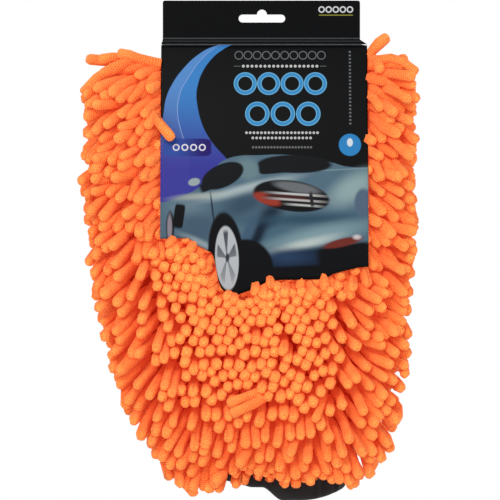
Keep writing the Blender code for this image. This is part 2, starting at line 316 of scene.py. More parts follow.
def chenille(pile):
    """Brushed chenille: fine rings of pile round each strand, with painted shade that makes it redder at
    the root and a painted highlight that makes it paler at the tip.

    Its even red emission is painted light, a glow that lifts the shade between the strands; it stands
    for the dye's fluorescence and the light that the pile lets through.
    """
    n = Nodes("chenille")
    place = n.place()
    rise = n.attribute("rise")
    wander = n.math("MULTIPLY", n.noise(place, WANDER_SCALE), RING_WANDER)
    turns = n.math("MULTIPLY", n.attribute("along"), RING_TURNS)
    rings = n.math("SINE", n.math("ADD", turns, wander))
    speckle = n.noise(place, SPECKLE_SCALE, 2, 0.6)
    tufts = n.add("ShaderNodeTexVoronoi", {"Vector": place, "Scale": TUFT_SCALE}).outputs["Distance"]
    # Painted shade: the strands turn to the darker root colour towards the cloth, where shade falls
    # between them.
    shade = n.mix(n.fade(rise, 0.25, 0.95), tuple(pile.root_shade), tuple(pile.lit))
    shade = n.mix(n.fade(n.attribute("tint"), 0, 1, 0, 0.35), shade, (0.97, 0.31, 0.06))
    shade = n.mix(n.fade(speckle, 0.38, 0.58, 0.6, 0.0), shade, (0.80, 0.115, 0.018))
    shade = n.mix(n.fade(rings, -1, 0.4, 0.75, 0.0), shade, (0.72, 0.105, 0.018))
    # Painted highlight: the tips turn paler.
    shade = n.mix(n.fade(rise, 0.80, 1.0, 0, 0.5), shade, (0.90, 0.345, 0.075))
    height = n.math("SUBTRACT", n.math("MULTIPLY", rings, 0.6), tufts)
    height = n.math("ADD", height, n.math("MULTIPLY", speckle, 0.8))
    # The red emission is painted light: a glow that brightens the shaded gaps between strands.
    n.set(
        Base_Color=shade, Roughness=0.95, Specular_IOR_Level=0.1, Sheen_Weight=0.25,
        Sheen_Roughness=0.6, Sheen_Tint=(1.0, 0.55, 0.25), Emission_Color=(1.0, 0.09, 0.03),
        Emission_Strength=0.27, Normal=n.bump(height, 0.7 * MM, 0.85),
    )
    return n.material


def plain_cloth(name, color, scale, roughness=0.9, sheen=0.2):
    """Fine cloth: a crossed weave with a little unevenness."""
    n = Nodes(name)
    place = n.place()
    warp = n.add("ShaderNodeTexWave", {"Vector": place, "Scale": scale}, bands_direction="X")
    weft = n.add("ShaderNodeTexWave", {"Vector": place, "Scale": scale}, bands_direction="Z")
    weave = n.math("MULTIPLY", warp.outputs["Fac"], weft.outputs["Fac"])
    uneven = n.noise(place, 60, 3)
    dark = tuple(c * 0.7 for c in color)
    light = tuple(min(c * 1.35 + 0.004, 1) for c in color)
    shade = n.mix(uneven, dark, light)
    n.set(
        Base_Color=shade, Roughness=roughness, Specular_IOR_Level=0.25, Sheen_Weight=sheen,
        Normal=n.bump(weave, 0.00012, 0.6),
    )
    return n.material


# Surfaces read from the frame


def tree_of(node):
    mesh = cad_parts[node].data
    faces = [p.vertices[:] for p in mesh.polygons]
    return BVHTree.FromPolygons([v.co for v in mesh.vertices], faces)


def sum_around(table):
    """Adds each cell of a grid to the eight round it."""
    padded = np.pad(table, 1, mode="edge")
    rows, columns = table.shape
    return sum(padded[i : i + rows, j : j + columns] for i in range(3) for j in range(3))


class Skin:
    """How far out a node's surface stands at a place, read on a fine grid of rays."""

    STEP = 2 * MM
    MARGIN = 12 * MM
    OUTSIDE = 200 * MM
    NOWHERE = 45 * MM

    def __init__(self, node, side, from_inside=False, missing=0.0):
        low, high = (np.array(c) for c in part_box(node))
        self.low = low[[0, 2]] - self.MARGIN
        count = np.ceil((high[[0, 2]] + self.MARGIN - self.low) / self.STEP).astype(int) + 1
        tree = tree_of(node)
        start = 0.0 if from_inside else side * self.OUTSIDE
        way = Vector((0, side if from_inside else -side, 0))
        self.out = np.full(count, missing)
        self.there = np.zeros(count)
        for i in range(count[0]):
            for j in range(count[1]):
                x, z = self.low + self.STEP * np.array((i, j))
                hit = tree.ray_cast(Vector((x, start, z)), way)[0]
                if hit is not None:
                    self.out[i, j] = hit.y * side
                    self.there[i, j] = 1

    def _read(self, table, x, z):
        u = (np.stack([x, z], -1) - self.low) / self.STEP
        u = np.clip(u, 0, np.array(table.shape) - 1.001)
        i = u.astype(int)
        f = u - i
        (a, b), (fa, fb) = (i[..., 0], i[..., 1]), (f[..., 0], f[..., 1])
        low = table[a, b] * (1 - fa) + table[a + 1, b] * fa
        high = table[a, b + 1] * (1 - fa) + table[a + 1, b + 1] * fa
        return low * (1 - fb) + high * fb

    def depth(self, x, z):
        return self._read(self.out, x, z)

    def covers(self, x, z):
        return self._read(self.there, x, z)

    def blur(self, times):
        """Spreads the depths a little past the edge, and makes a soft map of what is covered."""
        self.near = self.there.copy()
        for _ in range(times):
            self.near = sum_around(self.near) / 9
            known = self.out < self.NOWHERE
            amount = sum_around(known.astype(float))
            total = sum_around(np.where(known, self.out, 0))
            fill = (self.there == 0) & (amount > 0) & ~known
            self.out[fill] = (total / np.maximum(amount, 1))[fill]

    def edge_push(self, x, z):
        """Direction away from a blurred edge, and how near it is."""
        step = self.STEP
        across = self._read(self.near, x + step, z) - self._read(self.near, x - step, z)
        up = self._read(self.near, x, z + step) - self._read(self.near, x, z - step)
        size = np.hypot(across, up) + 1e-9
        return -across / size, -up / size, self._read(self.near, x, z)

    def slope(self, x, z):
        step = self.STEP
        across = (self.depth(x + step, z) - self.depth(x - step, z)) / (2 * step)
        down = (self.depth(x, z + step) - self.depth(x, z - step)) / (2 * step)
        return across, down


# Pile

# The pile's outline in mm: places across by height at the sides, and heights by place at the foot.
OUTLINE_LEFT = (
    (-30, -103), (-49, -105.6), (-104, -105.6), (-133, -102), (-162, -99.8), (-180, -95.7),
    (-194, -91), (-209, -87), (-223, -84), (-232, -79.5), (-244, -73.7), (-258, -65), (-270, -56),
    (-276, -47.6), (-281, -36),
)
OUTLINE_RIGHT = (
    (-30, 90), (-38, 92.8), (-58, 90.5), (-145, 90.5), (-161, 88), (-197, 87.6), (-210, 85.3),
    (-226, 83.5), (-242, 79.5), (-253, 76.6), (-263, 69.6), (-272, 62), (-276, 52), (-279, 43),
)
PILE_FOOT = (
    (-70, -268), (-58, -274.5), (-42, -282), (-28, -281), (-18, -279.5), (-11, -271), (0, -269.5),
    (6, -271), (12, -275), (26, -274), (40, -277), (50, -279.5), (62, -274), (76, -262),
)
PILE_TOP = -22 * MM
PILE_MIDDLE = -10 * MM
PILE_DEPTH = 37 * MM

# Rows of roots: columns each side, how many of them are even, how the rest widen, and the rows.
HALF_COLUMNS = 24
EVEN_COLUMNS = 7
WIDENING = 0.022
FIRST_ROW = 2.5 * MM
ROW_SHARE = 0.97

# The lay of the pile, as (height, value): where the two partings run across, how many degrees the
# strands outside them fall below level, and how many degrees they lift from the cloth. The pairs
# in metres are where one lay fades into the next.
LEFT_PARTING = (
    (-60, -48), (-100, -52), (-118, -62), (-140, -67), (-160, -61), (-186, -53), (-240, -47),
)
RIGHT_PARTING = ((-60, 46), (-135, 44), (-165, 38), (-215, 38), (-240, 34))
LEFT_FALL = (
    (-32, 8), (-48, 26), (-70, 38), (-110, 45), (-150, 44), (-200, 43), (-235, 52), (-262, 66),
)
RIGHT_FALL = ((-32, -5), (-60, 30), (-150, 30), (-200, 40), (-240, 58), (-262, 78))
RIGHT_LIFT = ((-130, 30), (-185, 42))
LEFT_SIDE = (11 * MM, -13 * MM)
RIGHT_SIDE = (-8 * MM, 15 * MM)
FOOT = (-212 * MM, -250 * MM)
UNDER_CARD = (-158 * MM, -140 * MM)
TOP = (-50 * MM, -36 * MM)
LEFT_LIFT = 27
STANDING_LIFT = 80
HANGING_LIFT = 22
FLAT_LIFT = 18


def strand_roots(skin, node, pitch, rng):
    """Roots in staggered rows over a backing cloth, a little out of line, wider apart at the sides."""
    low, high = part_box(node)
    roots = []
    row = 0
    z = high[2] - FIRST_ROW
    while z > low[2]:
        for k in range(-HALF_COLUMNS, HALF_COLUMNS + 1):
            at = k + (0.5 if row % 2 else 0)
            x = PILE_MIDDLE + pitch * at * (1 + WIDENING * max(abs(at) - EVEN_COLUMNS, 0))
            if low[0] < x < high[0]:
                roots.append((x, z))
        z -= pitch * ROW_SHARE
        row += 1
    roots = np.array(roots) + rng.normal(0, ROOT_SPREAD * pitch, (len(roots), 2))
    return roots[skin.covers(roots[:, 0], roots[:, 1]) > 0.6]


def lay_of(x, z, card):
    """Which way the pile is brushed at a root: its direction in the cloth's plane, and its lift."""
    left = smooth(*LEFT_SIDE, x - spread(z, LEFT_PARTING) * MM)
    right = smooth(*RIGHT_SIDE, x - spread(z, RIGHT_PARTING) * MM)
    middle = np.clip(1 - left - right, 0, 1)
    foot = smooth(*FOOT, z)
    fan = np.clip((x - 25 * MM) / (60 * MM), -1, 1)
    left_fall = np.radians(spread(z, LEFT_FALL))
    right_fall = np.radians(spread(z, RIGHT_FALL))
    across = right * np.cos(right_fall) - left * np.cos(left_fall) + 0.5 * middle * foot * fan
    down = -left * np.sin(left_fall) - right * np.sin(right_fall) - middle
    upright = STANDING_LIFT * (1 - foot) + HANGING_LIFT * foot
    lift = np.radians(left * LEFT_LIFT + right * spread(z, RIGHT_LIFT) + middle * upright)
    under = card.covers(x, z) * smooth(*UNDER_CARD, z)
    lift = lift * (1 - under) + np.radians(FLAT_LIFT) * under
    across = across * (1 - under) + under * np.clip(x / (60 * MM), -1, 1) * 0.6
    lift = lift * (1 - 0.5 * smooth(*TOP, z))
    size = np.hypot(across, down)
    return across / size, down / size, lift


def kept_inside(x, z, across, down, lift, lengths, rng):
    """Shortens strands near the outline, and turns those still too long, to stay inside it."""
    slack = rng.normal(0, OUTLINE_SPREAD, len(x))
    inset = ROOM_INSET
    laid = 0.9 * np.cos(lift)
    reach = lengths * laid
    low_z = z + down * reach * 0.7
    left = x - (spread(low_z, OUTLINE_LEFT) * MM + inset + slack)
    right = (spread(low_z, OUTLINE_RIGHT) * MM - inset + slack) - x
    room = np.where(across < 0, left, right) / np.maximum(np.abs(across), 0.05)
    share = np.clip(room / reach, SHORTEST_SHARE, 1)
    lengths, reach = lengths * share, reach * share
    across = np.clip(across, -np.clip(left / reach, 0.1, 1), np.clip(right / reach, 0.1, 1))
    down = np.sign(down) * np.sqrt(np.clip(1 - across**2, 0, 1))
    foot = (z - spread(x, PILE_FOOT) * MM - inset - slack) / (laid * np.maximum(-down, 0.05))
    lengths = np.minimum(lengths, np.clip(foot, 0.5 * lengths, None))
    return across, down, lengths


def close_pairs(flat, owner, reach):
    """Pairs of points of different strands that are nearer than a reach."""
    tree = KDTree(len(flat))
    for i, p in enumerate(flat):
        tree.insert(p, i)
    tree.balance()
    found = []
    for i, p in enumerate(flat):
        for _, j, _ in tree.find_range(p, reach):
            if j > i and owner[i] != owner[j]:
                found.append((i, j))
    return np.array(found).reshape(-1, 2).T


def settle(chains, goals, links, skin, card, side, gap, rng):
    """Moves strands until they lie against each other instead of through each other.

    Each strand is a chain of points. A point is drawn towards its goal, pushed off other strands
    and held between the cloth and the card.
    """
    count, size, _ = chains.shape
    owner = np.repeat(np.arange(count), size)
    slack = rng.normal(0, SLACK_SPREAD, (count, 1))
    fixed = np.tile(np.arange(size) == 0, count)
    for turn in range(SETTLE_ROUNDS):
        flat = chains.reshape(-1, 3)
        if turn % SEARCH_EVERY == 0:
            i, j = close_pairs(flat, owner, gap * SEARCH_REACH)
        apart = flat[j] - flat[i]
        far = np.linalg.norm(apart, axis=1) + 1e-9
        move = apart * (np.clip(gap - far, 0, None) * PUSH / far)[:, None]
        pushes = [
            np.bincount(j, move[:, k], len(flat)) - np.bincount(i, move[:, k], len(flat))
            for k in range(3)
        ]
        shift = np.stack(pushes, axis=1)
        shift *= np.minimum(1, LONGEST_STEP / (np.linalg.norm(shift, axis=1, keepdims=True) + 1e-9))
        shift[fixed] = 0
        chains = (flat + shift).reshape(count, size, 3)
        chains[:, 1:] += PULL * (goals - chains)[:, 1:]
        chains[:, 1:-1] += STIFFNESS * ((chains[:, :-2] + chains[:, 2:]) / 2 - chains[:, 1:-1])
        chains = hold_between(chains, skin, card, side, gap)
        chains = hold_in_outline(chains, slack)
        for k in range(1, size):
            run = chains[:, k] - chains[:, k - 1]
            long = np.linalg.norm(run, axis=1, keepdims=True) + 1e-9
            chains[:, k] = chains[:, k - 1] + run * (links[:, None] / long)
    return chains


def hold_between(chains, skin, card, side, gap):
    """Keeps points above the cloth and behind the card."""
    x, z = chains[..., 0], chains[..., 2]
    out = chains[..., 1] * side
    floor = skin.depth(x, z) + CLOTH_LIFT * gap
    floor[:, 0] = out[:, 0]
    out = np.maximum(out, np.where(skin.covers(x, z) > 0.5, floor, BARE_LIFT * gap))
    roof = card.depth(x, z) - CARD_DROP * gap
    under = (card.covers(x, z) > 0.4) & (out - roof < CARD_REACH * gap)
    out = np.where(under, np.minimum(out, roof), out)
    away_x, away_z, near = card.edge_push(x, z)
    beside = ~under & (near > 0.02) & (out > roof)
    beside[:, 0] = False
    chains[..., 0] += np.where(beside, away_x * EDGE_STEP, 0)
    chains[..., 2] += np.where(beside, away_z * EDGE_STEP, 0)
    chains[..., 1] = out * side
    return chains


def hold_in_outline(chains, slack):
    """Keeps the pile inside the mitt's outline and depth, give or take each strand's slack."""
    x, y, z = (chains[..., k] for k in range(3))
    left = spread(z, OUTLINE_LEFT) * MM + OUTLINE_INSET + slack
    right = spread(z, OUTLINE_RIGHT) * MM - OUTLINE_INSET + slack
    x += HOLD * (np.clip(x, left, right) - x)
    low = spread(x, PILE_FOOT) * MM + OUTLINE_INSET + slack
    z += HOLD * (np.clip(z, low, PILE_TOP - OUTLINE_INSET + slack) - z)
    y += HOLD * (np.clip(y, -PILE_DEPTH, PILE_DEPTH) - y)
    return chains


def strand_template(rings):
    """One strand as a tube of rings with a closed tip; each point knows its ring and spoke."""
    bm = bmesh.new()
    ring_of = bm.verts.layers.int.new("ring")
    spoke_of = bm.verts.layers.int.new("spoke")
    bmesh.ops.create_circle(bm, cap_ends=False, radius=1, segments=SPOKES)
    bm.verts.ensure_lookup_table()
    for v in bm.verts:
        v[spoke_of] = round(math.atan2(v.co.y, v.co.x) / (2 * math.pi / SPOKES)) % SPOKES
    edges = bm.edges[:]
    for ring in range(1, rings):
        made = bmesh.ops.extrude_edge_only(bm, edges=edges)["geom"]
        edges = [e for e in made if isinstance(e, bmesh.types.BMEdge)]
        for v in made:
            if isinstance(v, bmesh.types.BMVert):
                v[ring_of] = ring
                v.co.z = ring
    rim = [v for v in bm.verts if v[ring_of] == rings - 1]
    edges = [e for e in bm.edges if e.verts[0] in rim and e.verts[1] in rim]
    made = bmesh.ops.extrude_edge_only(bm, edges=edges)["geom"]
    tip = [v for v in made if isinstance(v, bmesh.types.BMVert)]
    bmesh.ops.pointmerge(bm, verts=tip, merge_co=(0, 0, rings))
    for v in bm.verts:
        if v.co.z > rings - 0.5:
            v[ring_of] = rings
            v[spoke_of] = 0
    bmesh.ops.recalc_face_normals(bm, faces=bm.faces)
    return to_mesh(bm, "strand_template")


def copies(template, count):
    """A mesh that holds a number of copies of a template, in order."""
    ob = bpy.data.objects.new("copies", template)
    bpy.context.scene.collection.objects.link(ob)
    array = ob.modifiers.new("copies", "ARRAY")
    array.count = count
    array.use_relative_offset = False
    array.use_constant_offset = True
    array.constant_offset_displace = (0, 0, 0)
    mesh = bpy.data.meshes.new_from_object(ob.evaluated_get(bpy.context.evaluated_depsgraph_get()))
    bpy.data.objects.remove(ob)
    return mesh


def along_chain(chains, at):
    """Points of a smooth curve through each chain, at a place from 0 to 1 along it."""
    size = chains.shape[1] - 1
    at = np.clip(np.asarray(at, float), 0, 1 - 1e-6) * size
    i = at.astype(int)
    f = (at - i)[..., None]
    rows = np.arange(len(chains))[:, None]

    def knot(k):
        return chains[rows, np.clip(k, 0, size)]

    a, b, c, d = knot(i - 1), knot(i), knot(i + 1), knot(i + 2)
    square = (2 * a - 5 * b + 4 * c - d) * f**2
    cube = (3 * b - a - 3 * c + d) * f**3
    return 0.5 * (2 * b + (c - a) * f + square + cube)


def squeezed(co, middles, skin, card, side):
    """Flattens what would pass through the card or the cloth; middles are the strands' own lines."""
    x, z = co[:, 0], co[:, 2]
    out = co[:, 1] * side
    roof = card.depth(x, z) - CARD_CLEAR
    over = middles[:, 1] * side > card.depth(middles[:, 0], middles[:, 2])
    covered = (card.covers(x, z) > 0.35) & ~over
    out = np.where(covered, np.minimum(out, roof), out)
    floor = skin.depth(x, z) + CLOTH_CLEAR
    floor = np.where(covered, np.minimum(floor, roof - LEAST_THICK), floor)
    out = np.where(skin.covers(x, z) > 0.95, np.maximum(out, floor), out)
    co[:, 1] = out * side
    return co


def turned_along(ahead):
    """Two directions across each strand at every ring, carried along it without twisting."""
    aside = [np.cross(ahead[:, 0], (0.31, 0.2, 0.93))]
    for k in range(1, ahead.shape[1]):
        aside.append(aside[-1] - ahead[:, k] * (aside[-1] * ahead[:, k]).sum(1, keepdims=True))
    aside = np.stack(aside, axis=1)
    aside /= np.linalg.norm(aside, axis=2, keepdims=True) + 1e-12
    return aside, np.cross(ahead, aside)


def read_layer(mesh, word):
    values = np.zeros(len(mesh.vertices), np.int32)
    mesh.attributes[word].data.foreach_get("value", values)
    mesh.attributes.remove(mesh.attributes[word])
    return values


def strand_mesh(name, chains, lengths, radii, rng, skin, card, side):
    """Gives every strand of a band its body: waisted here and there, with a round tip."""
    count = len(chains)
    rounds = TIP_ROUNDS[::-1]
    shaft = np.array(SHAFT)[None, :] * np.ones((count, 1))
    tips = np.array([(1 - back * radii / lengths) for back, _ in rounds]).T
    at = np.concatenate([shaft, tips], axis=1)
    rings = at.shape[1]
    centers = along_chain(chains, at)
    ahead = along_chain(chains, np.clip(at + 0.04, 0, 1)) - along_chain(chains, np.clip(at - 0.04, 0, 1))
    ahead /= np.linalg.norm(ahead, axis=2, keepdims=True) + 1e-12
    swell = 1 + rng.normal(0, SWELL_SPREAD, (count, rings))
    swell *= np.linspace(*SHAFT_SWELL, rings)
    ends = TIP_SWELL * np.array([share for _, share in rounds])
    swell[:, -len(rounds) :] = ends[None, :] * (1 + rng.normal(0, TIP_SPREAD, (count, 1)))
    aside, other = turned_along(ahead)
    mesh = copies(strand_template(rings), count)
    ring, spoke = read_layer(mesh, "ring"), read_layer(mesh, "spoke")
    strand = np.arange(len(ring)) // (len(ring) // count)
    is_tip = ring == rings
    ring_in = np.minimum(ring, rings - 1)
    angle = spoke * 2 * math.pi / SPOKES
    lumps = 1 + rng.normal(0, LUMP_SPREAD, len(ring))
    radius = radii[strand] * swell[strand, ring_in] * lumps
    middles = centers[strand, ring_in]
    co = middles + aside[strand, ring_in] * (radius * np.cos(angle))[:, None]
    co = co + other[strand, ring_in] * (radius * np.sin(angle))[:, None]
    co[is_tip] = chains[strand[is_tip], -1]
    if card is not None:
        co = squeezed(co, middles, skin, card, side)
    mesh.vertices.foreach_set("co", co.ravel())
    share = np.where(is_tip, 1.0, at[strand, ring_in])
    # Share between painted root shade (0) and painted tip highlight (1); loose strays start high, so
    # they get little of the painted shade.
    rise = share if card is not None else 0.7 + 0.3 * share
    tint = rng.random(count)[strand]
    layers = {"along": share * lengths[strand] + tint, "rise": rise, "tint": tint}
    for word, values in layers.items():
        layer = mesh.attributes.new(word, "FLOAT", "POINT")
        layer.data.foreach_set("value", values.astype(np.float32))
    mesh.name = name
    mesh.update()
    return mesh


# Points of the loose strands from root to tip, in mm across, out from the middle, and up.
STRAYS = (
    ((-66, 2, -34), (-76, 4, -36), (-86, 4, -38.5), (-97, 3, -43)),
    ((-66, 10, -57), (-62.5, 17, -62), (-58, 21, -67.5), (-51, 23.2, -76)),
    ((-58.7, 5, -31.5), (-69.8, 7.5, -29.2), (-76.6, 9, -26.9), (-83.5, 9, -26)),
    ((-70, 2, -29.5), (-78, 3, -28.4), (-87, 4, -28), (-94.3, 4, -30)),
    ((-72, 6, -34), (-86, 9, -34.6), (-95.5, 9.5, -40.5), (-103.5, 8, -49.5)),
    ((59, -1, -31), (63, 1, -25), (68, 3, -19.5), (73.3, 4.5, -15.5)),
    ((2, 28, -219), (-5.8, 37, -221.6), (-12.8, 38.3, -224), (-19.7, 37.5, -227.4)),
    ((4, 28, -222), (-3.5, 37, -226.2), (-11, 38.3, -229.5), (-18, 37.5, -233)),
    ((61, 1, -33), (71, 7, -28.5), (81, 10, -31), (89.5, 9, -37.5)),
)


def stray_strands(pile, material, skin, rng):
    """The few front strands that have worked loose of the lay."""
    points = np.array(STRAYS) * MM
    points[..., 1] *= FRONT
    chains = along_chain(points, np.linspace(0, 1, CHAIN)[None, :] * np.ones((len(points), 1)))
    lengths = np.linalg.norm(np.diff(chains, axis=1), axis=2).sum(axis=1)
    radii = np.full(len(chains), pile.diameter * 0.5)
    mesh = strand_mesh("front_strands_stray", chains, lengths, radii, rng, skin, None, FRONT)
    new_piece("front_strands_stray", mesh, "mitt", "chenille", material)


def chains_at_roots(roots, side, pile, skin, card, rng):
    """Strands standing at their roots and bending into the lay: their chains, goals and lengths."""
    x, z = roots[:, 0], roots[:, 1]
    out = skin.depth(x, z)
    roomy = (card.covers(x, z) < 0.5) | (card.depth(x, z) - out > CARD_ROOM)
    x, z, out = x[roomy], z[roomy], out[roomy]
    count = len(x)
    across, down, lift = lay_of(x, z, card)
    lift = np.clip(lift + np.radians(rng.normal(0, LIFT_SPREAD, count)), 0.1, 1.5)
    turn = np.radians(rng.normal(0, TURN_SPREAD, count))
    cos, sin = np.cos(turn), np.sin(turn)
    across, down = across * cos - down * sin, across * sin + down * cos
    standing = smooth(math.radians(45), math.radians(75), lift)
    lengths = pile.length * (1 - standing) + pile.standing_length * standing
    lengths = lengths * (1 + rng.normal(0, LENGTH_SPREAD, count) * (1 - 0.5 * standing))
    deepest = (PILE_DEPTH - out + rng.normal(0, DEPTH_SPREAD, count)) / np.sin(lift)
    lengths = np.minimum(lengths, deepest)
    across, down, lengths = kept_inside(x, z, across, down, lift, lengths, rng)
    lay = np.stack([across * np.cos(lift), side * np.sin(lift), down * np.cos(lift)], axis=1)
    rise_x, rise_z = (np.clip(slope, -2.5, 2.5) for slope in skin.slope(x, z))
    normal = np.stack([-rise_x, side * np.ones(count), -rise_z], axis=1)
    normal /= np.linalg.norm(normal, axis=1, keepdims=True)
    curl = rng.normal(0, CURL_SPREAD, (count, 3))
    goals = np.zeros((count, CHAIN, 3))
    goals[:, 0] = np.stack([x, side * out, z], axis=1)
    for k in range(1, CHAIN):
        bend = smooth(0, 0.45, (k - 0.5) / (CHAIN - 1))
        way = normal * (1 - bend) * 0.9 + lay * (bend + 0.1)
        way = way + curl * math.sin(2.2 * (k / CHAIN) * math.pi)
        way /= np.linalg.norm(way, axis=1, keepdims=True)
        goals[:, k] = goals[:, k - 1] + way * (lengths / (CHAIN - 1))[:, None]
    chains = goals + rng.normal(0, START_SPREAD, goals.shape)
    chains[:, 0] = goals[:, 0]
    return chains, goals, lengths, standing


def grow_pile(side, pile, material):
    """Sews the strands of one side, settles them and makes them pieces in three bands."""
    word = SIDE_WORDS[side]
    rng = np.random.default_rng(pile.seed + side)
    node = word + "_backing"
    skin = Skin(node, side)
    card = Skin(word + "_panel", side, from_inside=True, missing=50 * MM)
    card.blur(4)
    roots = strand_roots(skin, node, pile.pitch, rng)
    chains, goals, lengths, standing = chains_at_roots(roots, side, pile, skin, card, rng)
    z = goals[:, 0, 2]
    links = lengths / (CHAIN - 1)
    chains = settle(chains, goals, links, skin, card, side, pile.diameter * SQUEEZE, rng)
    swell = STANDING_SWELL * standing
    radii = pile.diameter / 2 * (1 + rng.normal(0, RADIUS_SPREAD, len(z)) + swell)
    share_down = (z.max() - z) / (z.max() - z.min())
    band = np.clip((share_down * len(BANDS)).astype(int), 0, len(BANDS) - 1)
    for i, place in enumerate(BANDS):
        pick = band == i
        name = f"{word}_strands_{place}"
        mesh = strand_mesh(name, chains[pick], lengths[pick], radii[pick], rng, skin, card, side)
        ob = new_piece(name, mesh, "mitt", "chenille", material)
        if i == 0:
            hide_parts(word + "_pile")
    if side == FRONT:
        stray_strands(pile, material, skin, rng)


class MITT_OT_pile(bpy.types.Operator):
    """Grow and settle the chenille strands of both sides"""

    bl_idname = "mitt.pile"
    bl_label = "Chenille Pile"

    def execute(self, context):
        pile = context.scene.mitt_pile
        material = chenille(pile)
        for side in (FRONT, REAR):
            grow_pile(side, pile, material)
        return {"FINISHED"}


# Hang card

LEAN = math.radians(22)
BEND_RADIUS = 418 * MM
CREASE_OUT = 0.4 * MM
CREASE_Z = -20.6 * MM
BOARD = 0.5 * MM
PANEL_START = 0.35 * MM
PANEL_SIDES = {FRONT: (-58.3, 60.9), REAR: (-57.4, 56.8)}
HEADER_SIDES = (-57.4, 56.8)
PANEL_BODIES = {FRONT: "front_flap", REAR: "mitt"}
FRONT_CUT = (
    (-58.3, 116), (-41.8, 115.6), (-37.1, 119.8), (-27.8, 124.4), (-26.9, 130), (-24.4, 143.4),
    (-20.3, 147.2), (-15.7, 148.7), (-7, 145.6), (4.6, 139.8), (36, 139.2), (40.6, 136.2),
    (54.5, 132.6), (60.9, 132),
)
REAR_LENGTH = 128
PANEL_GRID = (120, 60)
FOLD_COLUMNS = 60
INK_STRENGTH = (0.5, 0.5, 0.5)
REAR_CORNER = 6


def display(red, green, blue):
    """A colour given as it shows on a screen, from 0 to 255, as light."""
    parts = (c / 255 for c in (red, green, blue))
    return tuple(((c + 0.055) / 1.055) ** 2.4 if c > 0.04 else c / 12.92 for c in parts)


def board_spot(length, lift):
    """How far out and how high a place on the leaning, bowed panel is, below the crease."""
    lean = LEAN - length / BEND_RADIUS
    out = CREASE_OUT + BEND_RADIUS * (math.cos(lean) - math.cos(LEAN)) + lift * math.cos(lean)
    return out, CREASE_Z - BEND_RADIUS * (math.sin(LEAN) - math.sin(lean)) + lift * math.sin(lean)


def front_length(x):
    """Board length of the die-cut front panel, with its corners eased."""
    near = np.linspace(-1.2, 1.2, 7)
    return float(np.mean([spread((x / MM + n) * MM, FRONT_CUT) for n in near])) * MM


def rear_length(x):
    left, right = PANEL_SIDES[REAR]
    from_side = min(x / MM - left, right - x / MM, REAR_CORNER)
    gone = REAR_CORNER - math.sqrt(max(REAR_CORNER**2 - (REAR_CORNER - from_side) ** 2, 0))
    return (REAR_LENGTH - gone) * MM


def grid_mesh(columns, rows, place):
    """A grid bent to shape: place gives the point at 0 to 1 across and 0 to 1 down."""
    bm = bmesh.new()
    bmesh.ops.create_grid(bm, x_segments=columns, y_segments=rows, size=0.5)
    for v in bm.verts:
        v.co = place(v.co.x + 0.5, 0.5 - v.co.y)
    return bm


def board(name, side, columns, rows, place, printed, plain):
    """A printed sheet bent to shape, as thick as its board, plain inside; its cut edges keep the print.
    """
    bm = grid_mesh(columns, rows, place)
    bm.normal_update()
    facing = sum(f.normal.y * f.calc_area() for f in bm.faces)
    if facing * side < 0:
        bmesh.ops.reverse_faces(bm, faces=bm.faces[:])
    ob = bpy.data.objects.new(name, to_mesh(bm, name))
    bpy.context.scene.collection.objects.link(ob)
    ob.data.materials.append(printed)
    ob.data.materials.append(plain)
    thick = ob.modifiers.new("board", "SOLIDIFY")
    thick.thickness = BOARD
    thick.offset = -1
    thick.material_offset = 1
    return ob


def card_panel(side, printed, plain):
    word = SIDE_WORDS[side]
    left, right = (x * MM for x in PANEL_SIDES[side])
    length = front_length if side == FRONT else rear_length

    def place(across, down):
        x = left + across * (right - left)
        out, z = board_spot(PANEL_START + down * (length(x) - PANEL_START), BOARD / 2)
        return x, side * out, z

    ob = board(f"card_{word}_panel", side, *PANEL_GRID, place, printed, plain)
    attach(ob, PANEL_BODIES[side])
    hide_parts(word + "_panel")


def card_fold(side, printed, plain):
    """The creased strip that carries the header over into the panel."""
    word = SIDE_WORDS[side]
    header_face = CREASE_OUT + BOARD / 2
    path = [(header_face, -20.0 * MM), (header_face + 0.02 * MM, -20.35 * MM)]
    path += [board_spot(length * MM, BOARD / 2) for length in (0.15, 0.4)]
    widths = np.linspace(0, 1, len(path))

    def place(across, down):
        k = round(down * (len(path) - 1))
        low = HEADER_SIDES[0] * (1 - widths[k]) + PANEL_SIDES[side][0] * widths[k]
        high = HEADER_SIDES[1] * (1 - widths[k]) + PANEL_SIDES[side][1] * widths[k]
        return (low + across * (high - low)) * MM, side * path[k][0], path[k][1]

    ob = board(f"card_{word}_fold", side, FOLD_COLUMNS, len(path) - 1, place, printed, plain)
    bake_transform(ob)


def header_ply(side, printed, plain):
    """The header's ply: its die-cut outline and hang slot, with eased edges."""
    node = f"header_{SIDE_WORDS[side]}_ply"
    bm = merged_copy(node)
    bmesh.ops.dissolve_limit(bm, angle_limit=0.02, verts=bm.verts, edges=bm.edges)
    for f in bm.faces:
        f.material_index = 0 if f.normal.y * side > 0.9 else 1
    mesh = to_mesh(bm, node, smooth=False)
    name = f"card_header_{SIDE_WORDS[side]}"
    ob = new_piece(name, mesh, "header", "printed_board", printed, plain)
    ease = ob.modifiers.new("ease", "BEVEL")
    ease.width = 0.08 * MM
    ease.segments = 2
    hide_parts(node)


def merged_copy(node):
    bm = bmesh.new()
    bm.from_mesh(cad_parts[node].data)
    bmesh.ops.remove_doubles(bm, verts=bm.verts, dist=0.01 * MM)
    return bm


